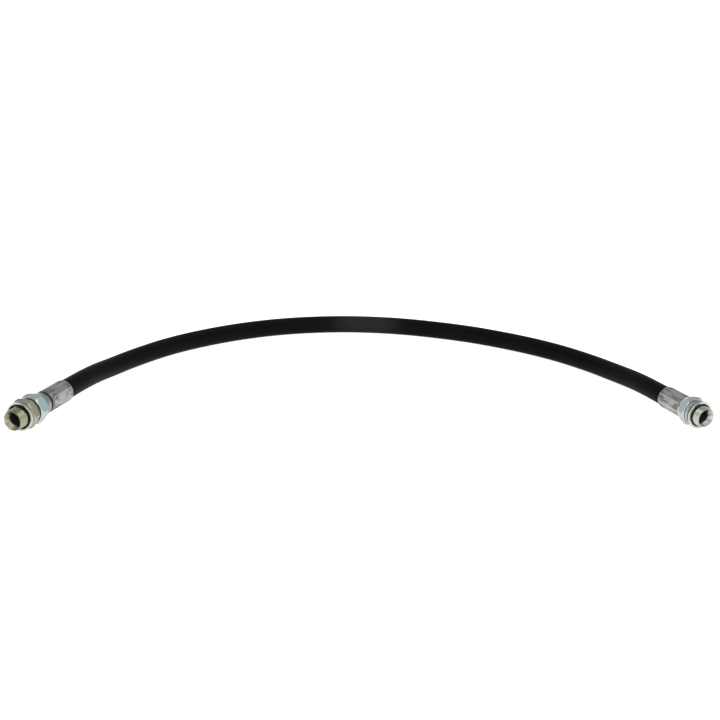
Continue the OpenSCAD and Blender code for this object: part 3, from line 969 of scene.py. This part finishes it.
# %% Rubber finishes
def rubber(name, black, bloom, bloom_mm, grain, rough, depth_mm, ior):
    """Black rubber with grain and a drifting bloom."""
    mat, tree, shader = new_material(name, 0.0)
    shader.inputs["IOR"].default_value = ior
    skin = place_group(tree, RUBBER_SKIN, Black=black, Bloom=bloom, Bloom_mm=bloom_mm,
                       Grain_per_mm=grain, Roughness=rough)
    tree.links.new(skin.outputs["Colour"], shader.inputs["Base Color"])
    tree.links.new(skin.outputs["Roughness"], shader.inputs["Roughness"])
    add_bump(tree, shader, skin.outputs["Height"], depth_mm, 0.5)
    return mat


def paint_crown_sheen(mat, centre_mm, reach_mm, grey):
    """Paints a soft grey sheen on the crown of the bow, centred at centre_mm along X."""
    tree = mat.node_tree
    shader = tree.nodes["Principled BSDF"]
    without_sheen = shader.inputs["Base Color"].links[0].from_socket
    far = distance_from(tree, node(tree, "ShaderNodeTexCoord"), centre_mm)
    mask = remap(tree, far, reach_mm * MM, 0.3 * reach_mm * MM)
    tree.links.new(mix_colour(tree, mask, without_sheen, grey), shader.inputs["Base Color"])


cover_rubber = rubber("cover_rubber", black=(0.004, 0.004, 0.0042, 1),
                      bloom=(0.006, 0.006, 0.0063, 1), bloom_mm=45, grain=1.6, rough=0.38,
                      depth_mm=0.03, ior=1.16)
# A painted sheen on the crown of the bow
paint_crown_sheen(cover_rubber, centre_mm=-4, reach_mm=52, grey=(0.028, 0.029, 0.032, 1))
plain_rubber = rubber("layer_rubber", black=(0.012, 0.012, 0.012, 1),
                      bloom=(0.02, 0.02, 0.02, 1), bloom_mm=20, grain=2.0, rough=0.55,
                      depth_mm=0.03, ior=1.3)
seal_rubber = rubber("seal_rubber", black=(0.005, 0.005, 0.005, 1),
                     bloom=(0.008, 0.008, 0.008, 1), bloom_mm=8, grain=4.0, rough=0.45,
                     depth_mm=0.01, ior=1.15)
print("finishes:", cover_rubber.name, plain_rubber.name, seal_rubber.name)

# %% [markdown]
# **Wire braid.** Two families of brass-coated wires cross each other and pass over and under.
# Hundreds of modelled wires would be too heavy for a layer that only shows at its cut ends. The
# UV map runs round and along the hose, so two slanting waves in it give the wires, and a third
# one says which family lies on top.

# %% Braid finish
def build_braid():
    """Two families of wire that slant round the hose in opposite ways."""
    crossings_around, crossings_along, wires = 24, 9, 6
    mat, tree, shader = new_material("braid_wire", 1.0)
    uv = node(tree, "ShaderNodeUVMap", uv_map="around_and_along")
    split = node(tree, "ShaderNodeSeparateXYZ")
    tree.links.new(uv.outputs[0], split.inputs[0])
    around = math_node(tree, "MULTIPLY", split.outputs["X"], crossings_around)
    along = math_node(tree, "MULTIPLY", split.outputs["Y"], crossings_along)
    rising = math_node(tree, "ADD", around, along)
    falling = math_node(tree, "SUBTRACT", around, along)
    pick = node(tree, "ShaderNodeMix", data_type="FLOAT")
    tree.links.new(math_node(tree, "GREATER_THAN", math_node(tree, "PINGPONG", rising, 1), 0.5),
                   pick.inputs[0])
    for slot, phase in ((2, rising), (3, falling)):
        fine = math_node(tree, "MULTIPLY", phase, wires)
        tree.links.new(math_node(tree, "PINGPONG", fine, 1), pick.inputs[slot])
    wire = remap(tree, pick.outputs[0], 0.0, 0.8)
    colour = mix_colour(tree, wire, (0.08, 0.07, 0.05, 1), (0.62, 0.55, 0.38, 1))
    tree.links.new(colour, shader.inputs["Base Color"])
    tree.links.new(remap(tree, wire, 0, 1, 0.6, 0.3), shader.inputs["Roughness"])
    add_bump(tree, shader, wire, 0.3)
    return mat


braid_wire = build_braid()
for layer, mat, slot in (("hose_cover", cover_rubber, "cover_rubber"),
                         ("outer_braid", braid_wire, "braid_wire"),
                         ("braid_interlayer", plain_rubber, "interlayer_rubber"),
                         ("inner_braid", braid_wire, "braid_wire"),
                         ("inner_tube", plain_rubber, "tube_rubber")):
    hose[layer].data.materials.append(mat)
print("finish:", braid_wire.name)

# %% [markdown]
# ## Ferrules
#
# A crimping machine closes eight dies round the ferrule. Each die presses a face that is almost
# flat, and a narrow ridge of steel stands up between two dies. A short land at the front stays
# round. Inside, rings of teeth bite the hose's cover, and a lip at the front drops into a groove
# of the insert. Faces that are cut off a finished barrel would leave ragged edges beside the
# ridges, so the lathe's radius follows the faces and the ridges instead.

# %% Build both ferrules
# Radius in the middle and at the border of a pressed face
PRESSED_R, BORDER_R = 11.2, 11.45
# Hole for the hose, teeth in it, and hole of the front lip
SOCKET_R, TOOTH_R, LIP_R = 9.45, 9.15, 7.45
# Largest radius of the barrel at some distances from its mouth
BARREL = ((0.0, 10.7), (0.3, 11.0), (1.0, 11.25), (2.0, 11.4), (3.5, FERRULE_R))
HALF_FACE, RIDGE_FLANK = math.pi / 8, math.radians(5)
# The dies stood a little turned
TURNED = {"a": math.radians(-7.5), "b": math.radians(7.5)}


def face_angle(angle, turned):
    """Angle from the middle of the nearest pressed face."""
    return abs((angle - turned + HALF_FACE) % (2 * HALF_FACE) - HALF_FACE)


def ridge_at(angle, turned):
    """1 on top of a ridge between two faces, and 0 beyond its flanks."""
    ridge = max(0, 1 - (HALF_FACE - face_angle(angle, turned)) / RIDGE_FLANK)
    return ridge * ridge * (3 - 2 * ridge)


def crimp_r(angle, turned):
    """Radius of the pressed faces, with the ridge that rises between two of them."""
    flat = min(PRESSED_R / math.cos(face_angle(angle, turned)), BORDER_R)
    return flat + (FERRULE_R - BORDER_R) * ridge_at(angle, turned)


def ferrule_outline(turned):
    """The barrel narrows towards its mouth. Inside are rings of teeth and the front lip."""
    land, land_r = FERRULE_L - 2.4, FERRULE_R - 0.05
    lip = FERRULE_L - LIP_T
    outline = [(FERRULE_IN, GRIP_R + 0.5)]
    outline += [(FERRULE_IN + u, lambda a, r=r: min(r, crimp_r(a, turned))) for u, r in BARREL]
    faces = FERRULE_IN + BARREL[-1][0]
    outline += [(faces + (land - faces) * i / 10, lambda a: crimp_r(a, turned))
                for i in range(1, 11)]
    outline += [(land + 0.3, land_r), (FERRULE_L - 0.6, land_r), (FERRULE_L, FERRULE_R - 0.6),
                (FERRULE_L, LIP_R), (lip, LIP_R), (lip, SOCKET_R)]
    for tooth in (25, 21, 17, 13, 9):
        outline += [(tooth + 1.0, SOCKET_R), (tooth + 0.6, TOOTH_R), (tooth, TOOTH_R),
                    (tooth - 0.4, SOCKET_R)]
    outline += [(FERRULE_IN + 0.8, SOCKET_R)]
    return plain(outline)


def highlight_ridges(bm, turned):
    """Marks the tops of the ridges for a painted highlight, from the mouth to the front land."""
    layer = bm.verts.layers.float["edge"]
    for v in bm.verts:
        u, r, angle = from_axis(v)
        if r > 11 and FERRULE_IN + 0.5 < u < FERRULE_L - 2:
            v[layer] = max(v[layer], ridge_at(angle, turned))


for end, turned in TURNED.items():
    bm = lathe(ferrule_outline(turned), sides=160)
    soften(bm, 0.12)
    # The ridge tops are marked for a painted highlight
    highlight_ridges(bm, turned)
    add_piece("crimped_ferrule_" + end, bm, end, "hose", "ferrule_" + end,
              [crimped])

# %% [markdown]
# ## Inserts
#
# The insert is the steel tail inside the hose. Six barbs hold the rubber, and a ring and a groove
# lock the ferrule's lip. On the left it ends in a stop collar and a coned head, which sits inside
# the swivel nut. On the right it goes on as a hexagon, a turned seat and the male stud. Both are
# turned from one bar, so each is one outline, and the stud's outline is shared with the adaptor.

# %% Tail and stud
# Free end, radius and barbs of the tail, then its locking ring and the groove in front of it
TAIL_START, TAIL_R, BARBS = 1.5, 6.2, 6
LOCK_R, GROOVE_R = 8.3, 7.4


def tail_outline():
    """Outside of the tail, from its free end to the ferrule's front."""
    pitch = (HOSE_IN - TAIL_START - 4) / BARBS
    outline = [(TAIL_START, TAIL_R - 0.6), (TAIL_START + 1.2, TAIL_R)]
    for i in range(BARBS):
        foot = TAIL_START + 2 + i * pitch
        crest = foot + 0.75 * pitch
        outline += [(foot, TAIL_R), (crest, TAIL_R + 0.3), (crest + 0.3, TAIL_R)]
    lock, groove = HOSE_IN + 0.1, FERRULE_L - LIP_T - 0.1
    outline += [(lock, TAIL_R), (lock, LOCK_R), (groove, LOCK_R), (groove, GROOVE_R),
                (FERRULE_L, GROOVE_R)]
    return plain(outline)


def stud_outline(shoulder, thread, tip, skin):
    """Outside of a male stud and the cone in its mouth, as far as the bore. The thread's
    finish is skin."""
    # The relief groove takes the near-black steel too, as painted shade
    return [(shoulder, RELIEF_R, BORE), (thread - 0.2, RELIEF_R, BORE),
            (thread, ROOT_R, skin), (tip - 1.0, ROOT_R, skin),
            (tip, ROOT_R - 0.15, skin), (tip, CONE_R, CONE), (tip - CONE_L, PORT_R, BORE)]


def shade_mouth_cone(bm, tip, low, spread=38):
    """Marks painted shade in the mouth's cone, spread in degrees round the clock angle low."""
    layer = root_layer(bm)
    for v in bm.verts:
        u, r, angle = from_axis(v)
        if PORT_R - 0.1 < r < CONE_R + 0.1 and u > tip - CONE_L - 0.1:
            off = (math.degrees(angle) - low + 180) % 360 - 180
            v[layer] = math.exp(-(off / spread) ** 2)


def stud_limit(tip, way=1):
    """Largest radius that the thread may reach: it is cut by the chamfer at the tip. way is -1
    where the stud points backwards."""
    return lambda u: min(THREAD_R - 0.02, THREAD_R - 0.85 + way * (tip - u))


print("tail with", BARBS, "barbs, studs", STUD_L, "mm long")

# %% Build the left insert
collar = FERRULE_L + COLLAR_L
nose_r = INSERT_R + 0.8
nose = HEAD_END + (HEAD_R - nose_r) / FOLD
outline = tail_outline()
outline += plain([(FERRULE_L, COLLAR_R - 0.5), (FERRULE_L + 0.5, COLLAR_R),
                  (collar - 0.5, COLLAR_R), (collar, COLLAR_R - 0.5), (collar, HEAD_NECK_R),
                  (HEAD_START, HEAD_NECK_R), (HEAD_START, HEAD_R - 0.4),
                  (HEAD_START + 0.4, HEAD_R), (HEAD_END, HEAD_R), (nose, nose_r)])
outline += [(nose, INSERT_R, BORE), (TAIL_START, INSERT_R, PLATED)]
bm = lathe(outline)
soften(bm, 0.12)
add_piece("coned_insert", bm, "a", "hose", "insert_a", [dull_olive, painted_shade_steel])

# %% [markdown]
# The right insert has a long cone behind its hexagon and an undercut before its seat. The
# undercut and the edges of the seat take a darker teal zinc, which is painted shade, and the
# mouth's cone and the thread have finishes of their own, so its list of finishes is the longest.

# %% Build the right insert
# Two more finishes, and the long cone behind the hexagon
SHADED, STUD_B = 3, 4
BODY_FOOT_R, BODY_CONE_L = 12.3, 7.4
undercut_r = SEAT_R - 1.2
outline = tail_outline()
outline += hexagon(FERRULE_L, BODY_SEAT, BODY_FOOT_R, BODY_CONE_L)
# The undercut and the seat's edges take the darker zinc, as painted shade
outline += [(BODY_SEAT, undercut_r, SHADED), (BODY_SEAT + 1.5, undercut_r, SHADED),
            (BODY_SEAT + 1.9, SEAT_R, PLATED), (SHOULDER_B - 0.9, SEAT_R, SHADED),
            (SHOULDER_B, SEAT_R - 0.6, SHADED)]
outline += stud_outline(SHOULDER_B, THREAD_B, TIP_B, STUD_B)
outline += [(FERRULE_L + 6, PORT_R, BORE), (FERRULE_L + 4, INSERT_R, BORE),
            (TAIL_START, INSERT_R, PLATED)]
bm = lathe(outline)
soften(bm, 0.15)
# Painted shade on the lower side of the mouth's cone
shade_mouth_cone(bm, TIP_B, -155)
thread_ridge(bm, THREAD_B, TIP_B, stud_limit(TIP_B), STUD_B)
add_piece("stud_insert", bm, "b", "hose", "insert_b",
          [lilac, painted_shade_steel, bright_cone, shaded_zinc, stud_zinc])

# %% [markdown]
# ## Swivel nut and adaptor
#
# The nut is slipped over the insert's head and its neck is then swaged inwards behind the head,
# so it stays on and turns freely. The rolled neck is drawn as an arc, because a bevel of that
# size would eat into the thin rim. One flat is tinted bluer than the others, a painted
# reflection of the cyan that this flat mirrors.

# %% Build the swivel nut
# Two more finishes, the radius of the rolled neck, and the cone behind the hexagon
SWAGED, PAINTED_REFLECTION = 2, 3
NECK_ROLL = 1.6
NUT_FOOT_R, NUT_CONE_L = 13.4, 3.2
rim_r = HEAD_NECK_R + CLEAR
tap_r, tap_end = THREAD_R + CLEAR, ADAPTOR_START - 0.4
outline = [(NUT_START, rim_r, SWAGED), (NUT_START, NECK_R - NECK_ROLL, SWAGED)]
outline += [(NUT_START + NECK_ROLL + NECK_ROLL * math.sin(math.radians(a)),
             NECK_R - NECK_ROLL + NECK_ROLL * math.cos(math.radians(a)), SWAGED)
            for a in range(-75, 1, 15)]
outline += [(NUT_NECK, NECK_R, SWAGED)]
# The flat from 30 to 90 degrees takes the bluer zinc, a painted reflection
outline += hexagon(NUT_HEX, NUT_END, NUT_FOOT_R, NUT_CONE_L, between(30, 90, PAINTED_REFLECTION))
outline += plain([(NUT_END, tap_r + 0.9), (NUT_END - 0.9, tap_r), (tap_end, tap_r),
                  (tap_end - (THREAD_R - HEAD_R), HEAD_R + CLEAR),
                  (NUT_START + RIM_T, HEAD_R + CLEAR), (NUT_START + RIM_T, rim_r)])
bm = lathe(outline)
soften(bm, 0.15)
add_piece("hexagon_swivel_nut", bm, "a", "swivel_nut", "swivel_nut",
          [blue, painted_shade_steel, swaged, painted_reflection_blue])

# %% [markdown]
# The adaptor has a long thread inside the nut, a hexagon, a turned seat and the same male stud as
# the other end. Its rear stud's mouth has a cone too, which sits on the insert's head. Both its
# threads are swept after the lathe's bevels, so that the bevels don't touch them.

# %% Build the adaptor
STUD_A = 3
rear = ADAPTOR_HEX - REAR_RELIEF
outline = plain([(ADAPTOR_START, CONE_R), (ADAPTOR_START, ROOT_R - 0.15),
                 (ADAPTOR_START + 1.0, ROOT_R), (rear + 1.1, ROOT_R), (rear + 1.4, RELIEF_R),
                 (ADAPTOR_HEX, RELIEF_R)])
outline += hexagon(ADAPTOR_HEX, ADAPTOR_SEAT, FACE_R, (CORNER_R - FACE_R) * FOLD)
outline += plain([(ADAPTOR_SEAT, SEAT_R), (SHOULDER_A - 0.4, SEAT_R),
                  (SHOULDER_A, SEAT_R - 0.4)])
outline += stud_outline(SHOULDER_A, THREAD_A, TIP_A, STUD_A)
outline += [(ADAPTOR_START + CONE_L, PORT_R, PLATED)]
bm = lathe(outline)
soften(bm, 0.15)
# Painted shade on the lower side of the mouth's cone
shade_mouth_cone(bm, TIP_A, 150)
thread_ridge(bm, THREAD_A, TIP_A, stud_limit(TIP_A), STUD_A)
thread_ridge(bm, ADAPTOR_START, rear + 1.2, stud_limit(ADAPTOR_START, way=-1), PLATED)
add_piece("male_adaptor", bm, "a", "adaptor", "adaptor",
          [olive, painted_shade_steel, warm_cone, stud_olive])

# %% [markdown]
# ## Bonded seals
#
# A bonded seal is a pressed steel ring with a rubber lip moulded to its inside. The lip has a
# trapezoid section that stands a little prouder than the steel, so it is squeezed first. The
# left one sits against its seat, and the right one has slid a little off it. Steel and rubber are
# two pieces that share a face, because one mesh couldn't stand for two nodes.

# %% Build both seals
# The rubber stands out of the steel by PROUD, between the two radii of its raised band
PROUD, CHAMFER = 0.25, 0.25
BAND_LOW_R, BAND_HIGH_R = RUBBER_R + 0.35, RUBBER_R + 0.75
for end, face in (("a", SHOULDER_A + SEAL_A_GAP), ("b", SHOULDER_B + SEAL_B_GAP)):
    back, front, far, ring_r = face + PROUD, face + SEAL_T - PROUD, face + SEAL_T, RING_R[end]
    bm = lathe(plain([(back, ring_r), (back, SEAL_R - CHAMFER), (back + CHAMFER, SEAL_R),
                      (front - CHAMFER, SEAL_R), (front, SEAL_R - CHAMFER), (front, ring_r)]),
               sides=128)
    soften(bm, 0.1)
    add_piece("seal_washer_" + end, bm, end, "seal_" + end, "seal_ring_" + end,
              [pressed])
    middle = face + SEAL_T / 2
    bm = lathe(plain([(middle - 0.5, RUBBER_R), (face, BAND_LOW_R), (face, BAND_HIGH_R),
                      (back, ring_r), (front, ring_r), (far, BAND_HIGH_R), (far, BAND_LOW_R),
                      (middle + 0.5, RUBBER_R)]), sides=96)
    soften(bm, 0.08)
    add_piece("seal_lip_" + end, bm, end, "seal_" + end, "seal_rubber_" + end,
              [seal_rubber])

# %% [markdown]
# ## Floor, backdrop and light
#
# The hose lies on a plain white floor in a white studio. Strong lamps could make the floor white,
# but they would burn out the bright zinc. So the lamps keep a plain level, and Light Path adds
# white to the floor for the camera alone, and a part of it for metal that mirrors the floor.

# %% Floor
FLOOR_HALF, FLOOR_Z = 60.0, -0.0002
# White that the floor gives to the camera, and to mirrored rays
CAMERA_LIFT, MIRRORED_LIFT = 0.93, 0.47


def build_floor():
    """A large white sheet just under the hose."""
    mesh = bpy.data.meshes.new("floor")
    corners = ((-1, -1), (1, -1), (1, 1), (-1, 1))
    mesh.from_pydata([(x * FLOOR_HALF, y * FLOOR_HALF, FLOOR_Z) for x, y in corners],
                     [], [(0, 1, 2, 3)])
    floor = bpy.data.objects.new("floor", mesh)
    scene.collection.objects.link(floor)
    mat = bpy.data.materials.new("white_floor")
    mat.use_nodes = True
    tree = mat.node_tree
    tree.nodes.clear()
    out = tree.nodes.new("ShaderNodeOutputMaterial")
    path = tree.nodes.new("ShaderNodeLightPath")
    mirrored = math_node(tree, "MAXIMUM", path.outputs["Is Glossy Ray"],
                         path.outputs["Is Transmission Ray"])
    lift = math_node(tree, "ADD", math_node(tree, "MULTIPLY", mirrored, MIRRORED_LIFT),
                     math_node(tree, "MULTIPLY", path.outputs["Is Camera Ray"], CAMERA_LIFT))
    diffuse = node(tree, "ShaderNodeBsdfDiffuse", Color=(0.82, 0.82, 0.82, 1))
    glow = node(tree, "ShaderNodeEmission", Color=(1, 1, 1, 1))
    tree.links.new(lift, glow.inputs["Strength"])
    add = tree.nodes.new("ShaderNodeAddShader")
    tree.links.new(diffuse.outputs[0], add.inputs[0])
    tree.links.new(glow.outputs[0], add.inputs[1])
    tree.links.new(add.outputs[0], out.inputs["Surface"])
    mesh.materials.append(mat)


build_floor()
print("floor lift", CAMERA_LIFT, MIRRORED_LIFT)

# %% [markdown]
# **Backdrop.** The camera sees plain white, and matt surfaces get an even grey light from all
# sides. Bare metal shows what it mirrors, so the world that glossy rays see is bright near the
# ground and greyer overhead, as in a studio with a high ceiling. Modelled walls would do it too,
# but a ramp over the ray's height is lighter and hasn't any edges.

# %% World
# How bright the studio is at each height of a mirrored ray, from the horizon to straight up
HEIGHTS = ((0.0, 0.80), (0.1, 0.69), (0.22, 0.61), (0.36, 0.46), (0.55, 0.33), (0.85, 0.24))
# The white walls at the left and the right reach higher than the one behind
SIDE_WALLS = 0.2
MATT_LIGHT = (0.42, 0.42, 0.42, 1)


def build_world():
    """White for the camera, even light for matt surfaces and a ramp for mirrored rays."""
    world = bpy.data.worlds.new("studio")
    scene.world = world
    world.use_nodes = True
    tree = world.node_tree
    tree.nodes.clear()
    out = tree.nodes.new("ShaderNodeOutputWorld")
    path = tree.nodes.new("ShaderNodeLightPath")
    place = tree.nodes.new("ShaderNodeTexCoord")
    split = tree.nodes.new("ShaderNodeSeparateXYZ")
    tree.links.new(place.outputs["Generated"], split.inputs[0])
    aside = math_node(tree, "MULTIPLY", split.outputs["X"], split.outputs["X"])
    height = math_node(tree, "SUBTRACT", split.outputs["Z"],
                       math_node(tree, "MULTIPLY", aside, SIDE_WALLS), clamp=True)
    ramp = tree.nodes.new("ShaderNodeValToRGB")
    tree.links.new(height, ramp.inputs[0])
    while len(ramp.color_ramp.elements) < len(HEIGHTS):
        ramp.color_ramp.elements.new(0.5)
    for stop, (at, grey) in zip(ramp.color_ramp.elements, HEIGHTS):
        stop.position = at
        stop.color = (0.96 * grey, grey, 1.02 * grey, 1)
    around = mix_colour(tree, path.outputs["Is Camera Ray"], MATT_LIGHT, (1, 1, 1, 1))
    mirrored = math_node(tree, "MAXIMUM", path.outputs["Is Glossy Ray"],
                         path.outputs["Is Transmission Ray"])
    colour = mix_colour(tree, mirrored, around, ramp.outputs[0])
    back = tree.nodes.new("ShaderNodeBackground")
    tree.links.new(colour, back.inputs["Color"])
    tree.links.new(back.outputs[0], out.inputs["Surface"])


build_world()
print("world:", scene.world.name, "with", len(HEIGHTS), "heights")

# %% [markdown]
# **Lamps.** A large soft lamp overhead and a wide low one in front give the even light of a
# studio. A smaller one in front, above the camera, gives each flat and cone its highlight and
# the faint shadows their direction. Area lamps are used, because their soft edges show in the
# zinc as they do in a studio.

# %% Lamps
def softbox(name, at, aim, size, watts, tint=(1, 1, 1)):
    """A rectangular lamp that looks from one point at another. Sizes are in metres."""
    data = bpy.data.lights.new(name, "AREA")
    data.shape = "RECTANGLE"
    data.size, data.size_y = size
    data.energy = watts
    data.color = tint
    lamp = bpy.data.objects.new(name, data)
    scene.collection.objects.link(lamp)
    lamp.location = at
    lamp.rotation_euler = (Vector(aim) - Vector(at)).to_track_quat("-Z", "Y").to_euler()


softbox("overhead", at=(0.0, 0.3, 3.2), aim=(0, 0.1, 0), size=(5.0, 5.0), watts=28,
        tint=(0.97, 0.99, 1.0))
softbox("front", at=(0.0, -2.08, 1.87), aim=(0, 0.28, 0), size=(1.1, 0.9), watts=7)
softbox("low_front", at=(0.1, -2.6, 1.15), aim=(0, 0.1, 0), size=(2.8, 1.0), watts=9,
        tint=(1.0, 0.99, 0.9))

# %% [markdown]
# ## Finish
#
# Blender draws every lamp and material through the Standard view, so a colour shows as it is
# written.

# %% Set the view transform
scene.view_settings.view_transform = "Standard"
